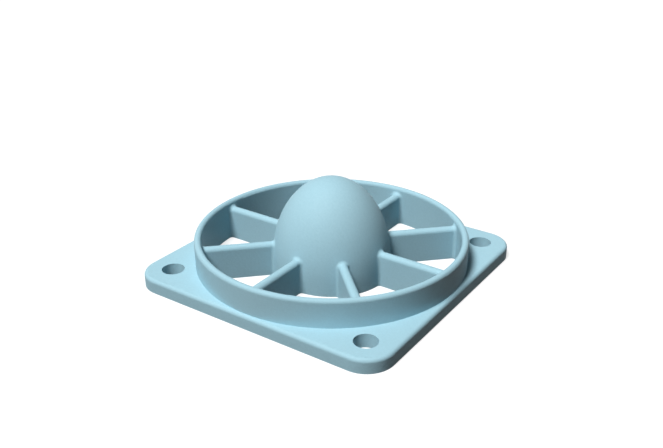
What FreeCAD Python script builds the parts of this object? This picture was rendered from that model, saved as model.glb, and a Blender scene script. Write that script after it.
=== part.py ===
import FreeCAD, Part
import math
import os

import Sketcher
from FreeCAD import Vector

# Fan guard, moulded in one piece: a square plate that screws to the face of a 40 mm fan, a thin
# ring round its air opening, and a domed hub held in the middle of the ring by thin upright ribs.
# Millimetres; origin at the centre of the underside, +Z up, the air passing along Z.

SIZES = [
    ("plate_side", 40.0, "side of the square mounting plate"),
    ("plate_thickness", 2.0, "thickness of the mounting plate"),
    ("corner_radius", 4.0, "radius of the plate's corners, seen from above"),
    ("plate_edge_radius", 0.5, "rounding along the plate's upper edge"),
    ("hole_inset", 4.0, "middle of a screw hole from two edges, for a 32 mm square of holes"),
    ("hole_diameter", 3.2, "clearance hole for a fan screw"),
    ("ring_setback", 0.5, "strip of plate outside the ring at the middle of a side"),
    ("ring_wall", 1.0, "wall of the ring, whose top is fully rounded"),
    ("ring_height", 6.0, "top of the ring above the underside"),
    ("hub_diameter", 17.0, "outside diameter of the hub's straight foot"),
    ("hub_foot", 2.0, "height of the foot, where the dome begins"),
    ("hub_height", 14.0, "top of the dome above the underside"),
    ("hub_wall", 1.3, "wall of the hollow hub"),
    ("rib_count", 8, "number of ribs round the hub"),
    ("rib_thickness", 1.3, "thickness of a rib"),
    ("rib_drop", 1.0, "how far the top of a rib lies below the top of the ring"),
    ("rib_top_flat", 0.1, "flat strip left along the middle of a rib's rounded top"),
    ("rib_end_radius", 0.5, "fillet where a rib meets the ring or the hub"),
    ("rib_end_margin", 0.01, "plain wall between an end fillet and the ring's rounded top"),
]

HOLE_PLACE = "Sizes.plate_side/2 - Sizes.hole_inset"
# The inside of the ring is the air opening.
OPENING_RADIUS = "(Sizes.plate_side/2 - Sizes.ring_setback - Sizes.ring_wall)"
RING_MIDDLE_RADIUS = f"({OPENING_RADIUS} + Sizes.ring_wall/2)"
RIB_HEIGHT = "(Sizes.ring_height - Sizes.rib_drop)"
# The ribs start well inside the hub, which swallows their inner ends.
RIB_START_RADIUS = "Sizes.hub_diameter/4"
# The end fillets climb the ring's wall and stop just below its rounded top.
RIB_END_ROOM = "Sizes.rib_drop - Sizes.ring_wall/2 - Sizes.rib_end_margin"
RIB_END_RADIUS = f"min(Sizes.rib_end_radius; {RIB_END_ROOM})"

TOLERANCE = 0.01

doc = FreeCAD.newDocument("FanGuard")

sheet = doc.addObject("Spreadsheet::Sheet", "Sizes")
for row, (alias, value, meaning) in enumerate(SIZES, start=1):
    sheet.set(f"A{row}", meaning)
    sheet.set(f"B{row}", str(value))
    sheet.setAlias(f"B{row}", alias)
doc.recompute()

guard = doc.addObject("PartDesign::Body", "Guard")
guard.Label = "fan_guard"
doc.recompute()


def value_of(expression):
    return float(sheet.evalExpression(expression))


# A sketch's own numbers for the points of a line or an arc, for its two axes and their crossing.
START, END, CENTRE = range(1, 4)
UP_AXIS, ACROSS_AXIS = range(-2, 0)
ORIGIN = (ACROSS_AXIS, START)


def origin_feature(role):
    return next(item for item in guard.Origin.OriginFeatures if item.Role == role)


def new_sketch(name, plane):
    sketch = guard.newObject("Sketcher::SketchObject", name)
    sketch.AttachmentSupport = [(origin_feature(plane), "")]
    sketch.MapMode = "FlatFace"
    return sketch


def line(x1, y1, x2, y2):
    return Part.LineSegment(Vector(x1, y1, 0), Vector(x2, y2, 0))


def arc(x, y, radius, first_degrees, last_degrees):
    circle = Part.Circle(Vector(x, y, 0), Vector(0, 0, 1), radius)
    return Part.ArcOfCircle(circle, math.radians(first_degrees), math.radians(last_degrees))


def relate(sketch, kind, *where):
    sketch.addConstraint(Sketcher.Constraint(kind, *where))


def bind(sketch, kind, where, expression):
    """Add a dimension to a sketch and take its value from the sheet."""
    index = sketch.addConstraint(Sketcher.Constraint(kind, *where, value_of(expression)))
    sketch.setExpression(f"Constraints[{index}]", expression)


def add_loop(sketch, shapes):
    """Add lines and circular arcs that follow one another, each arc tangent to its neighbours."""
    edges = [sketch.addGeometry(shape) for shape in shapes]
    for number, edge in enumerate(edges):
        following = (number + 1) % len(edges)
        smooth = any(isinstance(shapes[end], Part.ArcOfCircle) for end in (number, following))
        kind = "Tangent" if smooth else "Coincident"
        relate(sketch, kind, edge, END, edges[following], START)
    return edges


def plate_outline():
    sketch = new_sketch("PlateOutline", "XY_Plane")
    half = value_of("Sizes.plate_side/2")
    front, right, back, left = add_loop(sketch, [
        line(-half, -half, half, -half),
        line(half, -half, half, half),
        line(half, half, -half, half),
        line(-half, half, -half, -half)])
    for edge in (front, back):
        relate(sketch, "Horizontal", edge)
    for edge in (right, left):
        relate(sketch, "Vertical", edge)
    relate(sketch, "Symmetric", front, START, back, START, *ORIGIN)
    bind(sketch, "DistanceX", (front, START, front, END), "Sizes.plate_side")
    bind(sketch, "DistanceY", (right, START, right, END), "Sizes.plate_side")
    return sketch


def opening_circle():
    sketch = new_sketch("OpeningCircle", "XY_Plane")
    radius = value_of(OPENING_RADIUS)
    circle = sketch.addGeometry(Part.Circle(Vector(0, 0, 0), Vector(0, 0, 1), radius))
    relate(sketch, "Coincident", circle, CENTRE, *ORIGIN)
    bind(sketch, "Radius", (circle,), OPENING_RADIUS)
    return sketch


def screw_hole_circle():
    sketch = new_sketch("ScrewHoleCircle", "XY_Plane")
    place = value_of(HOLE_PLACE)
    radius = value_of("Sizes.hole_diameter/2")
    circle = sketch.addGeometry(Part.Circle(Vector(place, place, 0), Vector(0, 0, 1), radius))
    bind(sketch, "DistanceX", (*ORIGIN, circle, CENTRE), HOLE_PLACE)
    bind(sketch, "DistanceY", (*ORIGIN, circle, CENTRE), HOLE_PLACE)
    bind(sketch, "Diameter", (circle,), "Sizes.hole_diameter")
    return sketch


def ring_section():
    """The ring's wall, standing on the underside, with a half-round top."""
    sketch = new_sketch("RingSection", "XZ_Plane")
    inside = value_of(OPENING_RADIUS)
    wall = value_of("Sizes.ring_wall")
    shoulder = value_of("Sizes.ring_height - Sizes.ring_wall/2")
    foot, outer, top, inner = add_loop(sketch, [
        line(inside, 0, inside + wall, 0),
        line(inside + wall, 0, inside + wall, shoulder),
        arc(inside + wall/2, shoulder, wall/2, 0, 180),
        line(inside, shoulder, inside, 0)])
    relate(sketch, "Horizontal", foot)
    relate(sketch, "Vertical", outer)
    relate(sketch, "Vertical", inner)
    relate(sketch, "PointOnObject", foot, START, ACROSS_AXIS)
    bind(sketch, "DistanceX", (*ORIGIN, foot, START), OPENING_RADIUS)
    bind(sketch, "DistanceX", (foot, START, foot, END), "Sizes.ring_wall")
    bind(sketch, "DistanceY", (*ORIGIN, top, CENTRE), "Sizes.ring_height - Sizes.ring_wall/2")
    return sketch


def rib_section():
    """A rib seen along its length: straight sides, and a top rounded to a narrow flat."""
    sketch = new_sketch("RibSection", "YZ_Plane")
    half = value_of("Sizes.rib_thickness/2")
    flat = value_of("Sizes.rib_top_flat/2")
    top_z = value_of(RIB_HEIGHT)
    radius = half - flat
    foot, right, right_arc, top, left_arc, left = add_loop(sketch, [
        line(-half, 0, half, 0),
        line(half, 0, half, top_z - radius),
        arc(flat, top_z - radius, radius, 0, 90),
        line(flat, top_z, -flat, top_z),
        arc(-flat, top_z - radius, radius, 90, 180),
        line(-half, top_z - radius, -half, 0)])
    relate(sketch, "Symmetric", foot, START, foot, END, *ORIGIN)
    relate(sketch, "Symmetric", top, START, top, END, UP_AXIS)
    relate(sketch, "Horizontal", foot)
    relate(sketch, "Vertical", right)
    relate(sketch, "Vertical", left)
    bind(sketch, "DistanceX", (foot, START, foot, END), "Sizes.rib_thickness")
    bind(sketch, "DistanceX", (top, END, top, START), "Sizes.rib_top_flat")
    bind(sketch, "DistanceY", (*ORIGIN, top, START), RIB_HEIGHT)
    return sketch


def dome_section(name, radius, height):
    """Half of the hub's outline: a straight foot with a quarter ellipse standing on it."""
    sketch = new_sketch(name, "XZ_Plane")
    foot_radius, foot_z, top_z = value_of(radius), value_of("Sizes.hub_foot"), value_of(height)
    ellipse = Part.Ellipse(Vector(0, top_z, 0), Vector(-foot_radius, foot_z, 0),
                           Vector(0, foot_z, 0))
    floor, side, dome, axis = add_loop(sketch, [
        line(0, 0, foot_radius, 0),
        line(foot_radius, 0, foot_radius, foot_z),
        Part.ArcOfEllipse(ellipse, -math.pi/2, 0),
        line(0, top_z, 0, 0)])
    sketch.exposeInternalGeometry(dome)
    ellipse_long_axis = axis + 1
    relate(sketch, "Coincident", floor, START, *ORIGIN)
    relate(sketch, "Horizontal", floor)
    for edge in (side, axis, ellipse_long_axis):
        relate(sketch, "Vertical", edge)
    relate(sketch, "PointOnObject", dome, CENTRE, UP_AXIS)
    relate(sketch, "Horizontal", dome, CENTRE, dome, START)
    bind(sketch, "DistanceX", (floor, START, floor, END), radius)
    bind(sketch, "DistanceY", (side, START, side, END), "Sizes.hub_foot")
    bind(sketch, "DistanceY", (axis, END, axis, START), height)
    return sketch


def guard_volume():
    return 0 if guard.Shape.isNull() else guard.Shape.Volume


# Features. Each one is added at the body's tip and has to change its volume.
def add_feature(kind, name, sizes=(), **settings):
    volume_before = guard_volume()
    feature = guard.newObject("PartDesign::" + kind, name)
    for key, setting in settings.items():
        setattr(feature, key, setting)
    for key, expression in dict(sizes).items():
        feature.setExpression(key, expression)
    guard.Tip = feature
    doc.recompute()
    if abs(guard_volume() - volume_before) < TOLERANCE:
        raise RuntimeError(f"{name} changes nothing")
    return feature


def add_turned(kind, name, sketch):
    """Turn a section about Z. The seam lies midway between two ribs, clear of their ends."""
    sketch.AttachmentOffset = FreeCAD.Placement(Vector(), FreeCAD.Rotation(Vector(0, 1, 0), 1))
    sketch.setExpression("AttachmentOffset.Rotation.Angle", "180/Sizes.rib_count")
    return add_feature(kind, name, Profile=sketch, ReferenceAxis=(sketch, ["V_Axis"]), Angle=360)


def add_round_z(name, feature, count):
    """Repeat a feature round the Z axis."""
    return add_feature("PolarPattern", name, {"Occurrences": count}, Originals=[feature],
                       Axis=(origin_feature("Z_Axis"), [""]), Angle=360)


def edges_of(feature, wanted):
    """Names of the feature's edges that pass a test."""
    edges = enumerate(feature.Shape.Edges, start=1)
    return [f"Edge{number}" for number, edge in edges if wanted(edge)]


def is_upright(edge):
    return abs(edge.tangentAt(edge.FirstParameter).z) > 1 - TOLERANCE


def is_on_plate_top(edge):
    return edge.BoundBox.ZMin > value_of("Sizes.plate_thickness") - TOLERANCE


def is_rib_end(edge):
    """True for an edge along which a rib meets the ring or the hub, above the underside."""
    middle = edge.valueAt((edge.FirstParameter + edge.LastParameter)/2)
    radius = math.hypot(middle.x, middle.y)
    rib_pitch = 2*math.pi/value_of("Sizes.rib_count")
    beside_rib = radius*math.sin(math.remainder(math.atan2(middle.y, middle.x), rib_pitch))
    at_rib = abs(beside_rib) < value_of("Sizes.rib_thickness/2") + TOLERANCE
    at_hub = radius < value_of("Sizes.hub_diameter/2") + TOLERANCE
    at_ring = abs(radius - value_of(OPENING_RADIUS)) < TOLERANCE
    in_height = TOLERANCE < middle.z < value_of(RIB_HEIGHT) + TOLERANCE
    return at_rib and in_height and (at_hub or at_ring)


# Mounting plate: a square pad, with its corners rounded and then its upper edge.
plate = add_feature("Pad", "Plate", {"Length": "Sizes.plate_thickness"}, Profile=plate_outline())
corners = add_feature("Fillet", "PlateCorners", {"Radius": "Sizes.corner_radius"},
                      Base=(plate, edges_of(plate, is_upright)))
add_feature("Fillet", "PlateEdge", {"Radius": "Sizes.plate_edge_radius"},
            Base=(corners, edges_of(corners, is_on_plate_top)))

# Air opening, with the ring standing round it.
add_feature("Pocket", "Opening", Profile=opening_circle(), Type="ThroughAll", Reversed=True)
add_turned("Revolution", "Ring", ring_section())

# One rib ties the hub to the ring, and the others follow it round.
section = rib_section()
section.AttachmentOffset = FreeCAD.Placement(Vector(0, 0, 1), FreeCAD.Rotation())
section.setExpression("AttachmentOffset.Base.z", RIB_START_RADIUS)
rib = add_feature("Pad", "Rib", {"Length": f"{RING_MIDDLE_RADIUS} - {RIB_START_RADIUS}"},
                  Profile=section)
add_turned("Revolution", "Hub",
           dome_section("HubSection", "Sizes.hub_diameter/2", "Sizes.hub_height"))
ribs = add_round_z("Ribs", rib, "Sizes.rib_count")

# Fillets up both sides and over the top of each rib's two ends.
add_feature("Fillet", "RibEnds", {"Radius": RIB_END_RADIUS},
            Base=(ribs, edges_of(ribs, is_rib_end)))

# The hub is hollow and open below, with a wall of one thickness.
add_turned("Groove", "Hollow",
           dome_section("HollowSection", "Sizes.hub_diameter/2 - Sizes.hub_wall",
                        "Sizes.hub_height - Sizes.hub_wall"))

# Four screw holes, on the fan's own square of holes.
screw_hole = add_feature("Pocket", "ScrewHole", Profile=screw_hole_circle(),
                         Type="ThroughAll", Reversed=True)
add_round_z("ScrewHoles", screw_hole, "4")

for item in doc.Objects:
    if "Invalid" in item.State or "Error" in item.State:
        raise RuntimeError(f"{item.Name} failed: {item.State}")
if guard.Shape.isNull() or not guard.Shape.isValid() or len(guard.Shape.Solids) != 1:
    raise RuntimeError("the guard is not one sound solid")

os.makedirs("parts", exist_ok=True)
guard.Shape.exportStep(f"parts/{guard.Label}.step")
print(guard.Label, f"{guard.Shape.Volume:.1f} mm3", guard.Shape.BoundBox)
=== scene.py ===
import math

import bpy
from bpy.props import FloatProperty, FloatVectorProperty, PointerProperty
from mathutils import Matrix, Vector


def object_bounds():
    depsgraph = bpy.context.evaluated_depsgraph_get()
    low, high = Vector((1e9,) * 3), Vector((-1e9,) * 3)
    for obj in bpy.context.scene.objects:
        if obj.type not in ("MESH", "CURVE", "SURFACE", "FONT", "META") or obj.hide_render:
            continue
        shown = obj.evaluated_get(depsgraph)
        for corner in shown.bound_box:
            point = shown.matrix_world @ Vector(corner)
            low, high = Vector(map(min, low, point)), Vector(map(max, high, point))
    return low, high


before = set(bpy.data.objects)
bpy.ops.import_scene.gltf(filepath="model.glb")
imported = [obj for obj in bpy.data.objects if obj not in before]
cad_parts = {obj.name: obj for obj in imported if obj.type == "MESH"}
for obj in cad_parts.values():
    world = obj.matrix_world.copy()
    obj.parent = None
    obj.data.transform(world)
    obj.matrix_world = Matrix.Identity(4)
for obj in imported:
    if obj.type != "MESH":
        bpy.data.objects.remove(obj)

bl_info = {
    "name": "Moulded fan guard",
    "version": (1, 0, 0),
    "blender": (4, 5, 0),
    "location": "3D View > Sidebar > Fan guard",
    "description": "Finishes a one-piece moulded fan guard and sets it on a pale studio floor",
    "category": "Object",
}

MILLIMETRE = 0.001

# The guard as it comes from the model: its one node, its box and its height.
GUARD_NODE = "fan_guard"
CAD_LOW, CAD_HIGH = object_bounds()
GUARD_HEIGHT = (CAD_HIGH - CAD_LOW).z

# The picture that the camera is set up for, in pixels, and the width of the camera's sensor,
# in millimetres.
PICTURE_WIDTH, PICTURE_HEIGHT = 663, 448
SENSOR_WIDTH = 36.0

# The refractive index of ABS, and its reflections, weak because the surface is matt.
ABS_IOR = 1.53
ABS_SPECULAR = 0.12

# Nearly all of a noise texture's values lie between these two.
NOISE_LOW, NOISE_HIGH = 0.3, 0.7

# Cosine of the angle from its middle at which the fill light has faded out.
FILL_END = -0.3


def linear(hex_colour):
    """The linear red, green and blue of an sRGB colour such as #BFEFFF."""
    parts = [int(hex_colour[i:i + 2], 16) / 255 for i in (1, 3, 5)]
    return tuple(p / 12.92 if p <= 0.04045 else ((p + 0.055) / 1.055) ** 2.4 for p in parts)


def add_node(tree, kind, inputs=None, **settings):
    """Add a node. An input, by name or number, is linked to a socket or set to any other value."""
    node = tree.nodes.new(kind)
    for name, value in settings.items():
        setattr(node, name, value)
    for name, value in (inputs or {}).items():
        if isinstance(value, bpy.types.NodeSocket):
            tree.links.new(value, node.inputs[name])
        else:
            node.inputs[name].default_value = value
    return node


def empty_tree(owner):
    """The owner's node tree with nothing in it."""
    owner.use_nodes = True
    owner.node_tree.nodes.clear()
    return owner.node_tree


class GuardFinish(bpy.types.PropertyGroup):
    """What the guard's plastic looks like"""

    colour: FloatVectorProperty(
        name="Colour", description="Colour of the plastic", subtype="COLOR", size=3,
        min=0, max=1, default=linear("#A7CEDB"))
    deep_colour: FloatVectorProperty(
        name="Deeper colour", description="Colour where the pigment lies a little thicker",
        subtype="COLOR", size=3, min=0, max=1, default=linear("#9EC5D2"))
    tone_spacing: FloatProperty(
        name="Tone spacing", description="Distance over which the pigment's tone changes",
        subtype="DISTANCE", unit="LENGTH", min=0, default=7 * MILLIMETRE)
    grain_spacing: FloatProperty(
        name="Grain spacing", description="Width of one bump of the mould's satin grain",
        subtype="DISTANCE", unit="LENGTH", min=0, default=0.3 * MILLIMETRE)
    grain_depth: FloatProperty(
        name="Grain depth", description="Height of the satin grain", subtype="DISTANCE", unit="LENGTH",
        min=0, default=0.026 * MILLIMETRE)
    smoothest: FloatProperty(
        name="Smoothest", description="Roughness on top of the grain", subtype="FACTOR", min=0, max=1,
        default=0.55)
    roughest: FloatProperty(
        name="Roughest", description="Roughness between the grain", subtype="FACTOR", min=0, max=1,
        default=0.68)


class StageSetting(bpy.types.PropertyGroup):
    """Where the camera stands and how the lamps light the guard"""

    camera_azimuth: FloatProperty(
        name="Camera azimuth", description="Angle of the camera round the guard, from its front",
        subtype="ANGLE", unit="ROTATION", default=math.radians(34.38))
    camera_elevation: FloatProperty(
        name="Camera elevation", description="Angle of the camera above the floor", subtype="ANGLE",
        unit="ROTATION", default=math.radians(25.79))
    camera_distance: FloatProperty(
        name="Camera distance", description="From the camera to the middle of the guard",
        subtype="DISTANCE", unit="LENGTH", min=0.01, default=119.11 * MILLIMETRE)
    camera_field: FloatProperty(
        name="Field of view", description="Angle that the picture takes in from bottom to top",
        subtype="ANGLE", unit="ROTATION", min=0.1, max=2, default=math.radians(30))
    key_direction: FloatVectorProperty(
        name="Key direction", description="Direction from the guard to the key lamp",
        subtype="DIRECTION", size=3, default=(-0.07, -0.46, 0.885))
    key_distance: FloatProperty(
        name="Key distance", description="From the guard to the key lamp", subtype="DISTANCE",
        unit="LENGTH", min=0.1, default=6)
    key_size: FloatProperty(
        name="Key size", description="Side of the key lamp's square front", subtype="DISTANCE",
        unit="LENGTH", min=0.01, default=1.7)
    key_light: FloatProperty(
        name="Key light",
        description="Light on a face turned to the key lamp; 1 shows a colour as written",
        min=0, default=1.31)
    fill_direction: FloatVectorProperty(
        name="Fill direction",
        description="Direction from the guard to the middle of the broad fill light",
        subtype="DIRECTION", size=3, default=(-0.3, 0.6, -0.74))
    fill_light: FloatProperty(
        name="Fill light", description="Strength of the fill light at its middle", min=0, default=0.2)
    floor_size: FloatProperty(
        name="Floor size", description="Side of the square floor", subtype="DISTANCE", unit="LENGTH",
        min=0.1, default=0.8)
    floor_drop: FloatProperty(
        name="Floor drop",
        description="Gap that keeps the floor out of the plane of the guard's underside",
        subtype="DISTANCE", unit="LENGTH", min=0, default=0.01 * MILLIMETRE)
    floor_colour: FloatVectorProperty(
        name="Floor colour", description="Colour of the floor and of the room round it",
        subtype="COLOR", size=3, min=0, max=1, default=linear("#FFFFFF"))
    floor_reserve: FloatProperty(
        name="Floor reserve",
        description="How many times the lamp light that it needs the floor takes, to be white all over",
        min=1, default=1.25)
    shadow_share: FloatProperty(
        name="Shadow share",
        description="Share of the floor's white that the guard's shadow can take away",
        subtype="FACTOR", min=0, max=1, default=0.24)


# ABS, injection moulded in a tool whose walls are spark eroded to a fine satin grain.
# To the eye: an even pale blue, soft broad highlights, a faint grain and no clear reflections.
def moulded_abs(finish):
    material = bpy.data.materials.new("Pale blue ABS, satin moulded")
    tree = empty_tree(material)
    place = add_node(tree, "ShaderNodeTexCoord").outputs["Object"]
    tone = add_node(
        tree, "ShaderNodeTexNoise",
        {"Vector": place, "Scale": 1 / finish.tone_spacing, "Detail": 3.0, "Roughness": 0.5})
    # The real grain is about 0.1 mm wide, which is under a pixel of the picture, so it is drawn
    # three times as coarse.
    grain = add_node(
        tree, "ShaderNodeTexNoise",
        {"Vector": place, "Scale": 1 / finish.grain_spacing, "Detail": 3.0, "Roughness": 0.6})
    hollow = add_node(
        tree, "ShaderNodeMapRange",
        {"Value": grain.outputs["Fac"], "From Min": NOISE_LOW, "From Max": NOISE_HIGH,
         "To Min": 1.0, "To Max": 0.0})
    # The pigment's tone changes slowly over the part, and as much again from grain to hollow.
    pigment = add_node(
        tree, "ShaderNodeMix",
        {"Factor": 0.5, "A": tone.outputs["Fac"], "B": hollow.outputs["Result"]})
    colour = add_node(
        tree, "ShaderNodeMix",
        {"Factor": pigment.outputs["Result"], "A": (*finish.colour, 1), "B": (*finish.deep_colour, 1)},
        data_type="RGBA")
    roughness = add_node(
        tree, "ShaderNodeMapRange",
        {"Value": hollow.outputs["Result"], "To Min": finish.smoothest, "To Max": finish.roughest})
    bump = add_node(
        tree, "ShaderNodeBump",
        {"Height": grain.outputs["Fac"], "Distance": finish.grain_depth, "Strength": 1.0})
    plastic = add_node(
        tree, "ShaderNodeBsdfPrincipled",
        {"Base Color": colour.outputs["Result"], "Roughness": roughness.outputs["Result"],
         "Normal": bump.outputs["Normal"], "IOR": ABS_IOR, "Specular IOR Level": ABS_SPECULAR})
    add_node(tree, "ShaderNodeOutputMaterial", {"Surface": plastic.outputs["BSDF"]})
    return material


def seen_directly(tree):
    """1 where the camera sees it, also in a reflection or through glass, and 0 for other light."""
    path = add_node(tree, "ShaderNodeLightPath")
    seen = path.outputs["Is Camera Ray"]
    for kind in ("Is Glossy Ray", "Is Transmission Ray"):
        either = add_node(tree, "ShaderNodeMath", {0: seen, 1: path.outputs[kind]}, operation="MAXIMUM")
        seen = either.outputs[0]
    return seen


# Studio paper: matt white to the eye, with soft pale shadows, and clear from below.
def studio_paper(stage):
    material = bpy.data.materials.new("White studio paper, matt")
    tree = empty_tree(material)
    white = (*stage.floor_colour, 1)
    # Most of the white is the paper's own, and the lamp adds the rest wherever no shadow falls.
    glow = add_node(
        tree, "ShaderNodeEmission", {"Color": white, "Strength": 1 - stage.shadow_share})
    lit = [stage.shadow_share * stage.floor_reserve * part for part in stage.floor_colour]
    paper = add_node(tree, "ShaderNodeBsdfDiffuse", {"Color": (*lit, 1)})
    both = add_node(tree, "ShaderNodeAddShader", {0: glow.outputs[0], 1: paper.outputs[0]})
    from_below = add_node(tree, "ShaderNodeNewGeometry").outputs["Backfacing"]
    clear = add_node(tree, "ShaderNodeBsdfTransparent")
    shown = add_node(
        tree, "ShaderNodeMixShader", {0: from_below, 1: both.outputs[0], 2: clear.outputs[0]})
    add_node(tree, "ShaderNodeOutputMaterial", {"Surface": shown.outputs[0]})
    return material


def add_floor(stage):
    half = stage.floor_size / 2
    mesh = bpy.data.meshes.new("floor")
    corners = [(-half, -half), (half, -half), (half, half), (-half, half)]
    height = CAD_LOW.z - stage.floor_drop
    mesh.from_pydata([(x, y, height) for x, y in corners], [], [range(4)])
    mesh.materials.append(studio_paper(stage))
    floor = bpy.data.objects.new("floor", mesh)
    # The floor throws no light back at the guard, whose dark sides then stay dark.
    floor.visible_diffuse = False
    bpy.context.scene.collection.objects.link(floor)


def add_key_lamp(stage):
    lamp = bpy.data.lights.new("key_lamp", "AREA")
    lamp.shape = "SQUARE"
    lamp.size = stage.key_size
    # At this power the lamp shows a white face turned to it at just the light asked for.
    lamp.energy = stage.key_light * (math.pi * stage.key_distance) ** 2
    key = bpy.data.objects.new("key_lamp", lamp)
    way = Vector(stage.key_direction).normalized()
    key.location = way * stage.key_distance
    key.rotation_euler = way.to_track_quat("Z", "Y").to_euler()
    bpy.context.scene.collection.objects.link(key)


def set_world(stage):
    world = bpy.data.worlds.new("white_room")
    tree = empty_tree(world)
    white = (*stage.floor_colour, 1)
    # The fill comes from behind and below, so that the sides away from the key lamp show
    # their shape too.
    way = add_node(tree, "ShaderNodeTexCoord").outputs["Generated"]
    middle = Vector(stage.fill_direction).normalized()
    nearness = add_node(tree, "ShaderNodeVectorMath", {0: way, 1: middle}, operation="DOT_PRODUCT")
    strength = add_node(
        tree, "ShaderNodeMapRange",
        {"Value": nearness.outputs["Value"], "From Min": FILL_END, "To Max": stage.fill_light},
        interpolation_type="SMOOTHSTEP")
    fill = add_node(
        tree, "ShaderNodeBackground", {"Color": white, "Strength": strength.outputs["Result"]})
    shown = add_node(tree, "ShaderNodeBackground", {"Color": white, "Strength": 1.0})
    room = add_node(
        tree, "ShaderNodeMixShader", {0: seen_directly(tree), 1: fill.outputs[0], 2: shown.outputs[0]})
    add_node(tree, "ShaderNodeOutputWorld", {"Surface": room.outputs[0]})
    bpy.context.scene.world = world


def add_camera(stage):
    camera = bpy.data.cameras.new("camera")
    camera.sensor_width = SENSOR_WIDTH
    half_height = SENSOR_WIDTH / 2 * PICTURE_HEIGHT / PICTURE_WIDTH
    camera.lens = half_height / math.tan(stage.camera_field / 2)
    # It sees from well short of the guard to beyond the floor.
    camera.clip_start = stage.camera_distance / 100
    camera.clip_end = stage.floor_size * 2
    viewer = bpy.data.objects.new("camera", camera)
    azimuth, elevation = stage.camera_azimuth, stage.camera_elevation
    back = Vector((
        math.sin(azimuth) * math.cos(elevation),
        -math.cos(azimuth) * math.cos(elevation),
        math.sin(elevation)))
    aim = Vector((0, 0, CAD_LOW.z + GUARD_HEIGHT / 2))
    viewer.location = aim + back * stage.camera_distance
    viewer.rotation_euler = back.to_track_quat("Z", "Y").to_euler()
    bpy.context.scene.collection.objects.link(viewer)
    bpy.context.scene.camera = viewer


class FANGUARD_OT_finish_guard(bpy.types.Operator):
    """Give the moulded guard its satin pale blue plastic"""

    bl_idname = "fanguard.finish_guard"
    bl_label = "Finish the guard"

    def execute(self, context):
        plastic = moulded_abs(context.scene.guard_finish)
        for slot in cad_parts[GUARD_NODE].material_slots:
            slot.material = plastic
        return {"FINISHED"}


class FANGUARD_OT_set_stage(bpy.types.Operator):
    """Set the guard on a white floor, with a soft key lamp and the camera"""

    bl_idname = "fanguard.set_stage"
    bl_label = "Set the stage"

    def execute(self, context):
        stage = context.scene.stage_setting
        context.scene.view_settings.view_transform = "Standard"
        add_floor(stage)
        add_key_lamp(stage)
        set_world(stage)
        add_camera(stage)
        return {"FINISHED"}


class FANGUARD_PT_sidebar(bpy.types.Panel):
    """Lists the steps that finish the guard and set the stage"""

    bl_label = "Fan guard"
    bl_idname = "FANGUARD_PT_sidebar"
    bl_space_type = "VIEW_3D"
    bl_region_type = "UI"
    bl_category = "Fan guard"

    def draw(self, context):
        for settings, step in (
                (context.scene.guard_finish, FANGUARD_OT_finish_guard),
                (context.scene.stage_setting, FANGUARD_OT_set_stage)):
            column = self.layout.column()
            for name in settings.__annotations__:
                column.prop(settings, name)
            column.operator(step.bl_idname)


CLASSES = (
    GuardFinish, StageSetting, FANGUARD_OT_finish_guard, FANGUARD_OT_set_stage, FANGUARD_PT_sidebar)


def register():
    for each in CLASSES:
        bpy.utils.register_class(each)
    bpy.types.Scene.guard_finish = PointerProperty(type=GuardFinish)
    bpy.types.Scene.stage_setting = PointerProperty(type=StageSetting)


def unregister():
    del bpy.types.Scene.stage_setting
    del bpy.types.Scene.guard_finish
    for each in reversed(CLASSES):
        bpy.utils.unregister_class(each)


def main():
    register()
    bpy.ops.fanguard.finish_guard()
    bpy.ops.fanguard.set_stage()


if __name__ == "__main__":
    main()
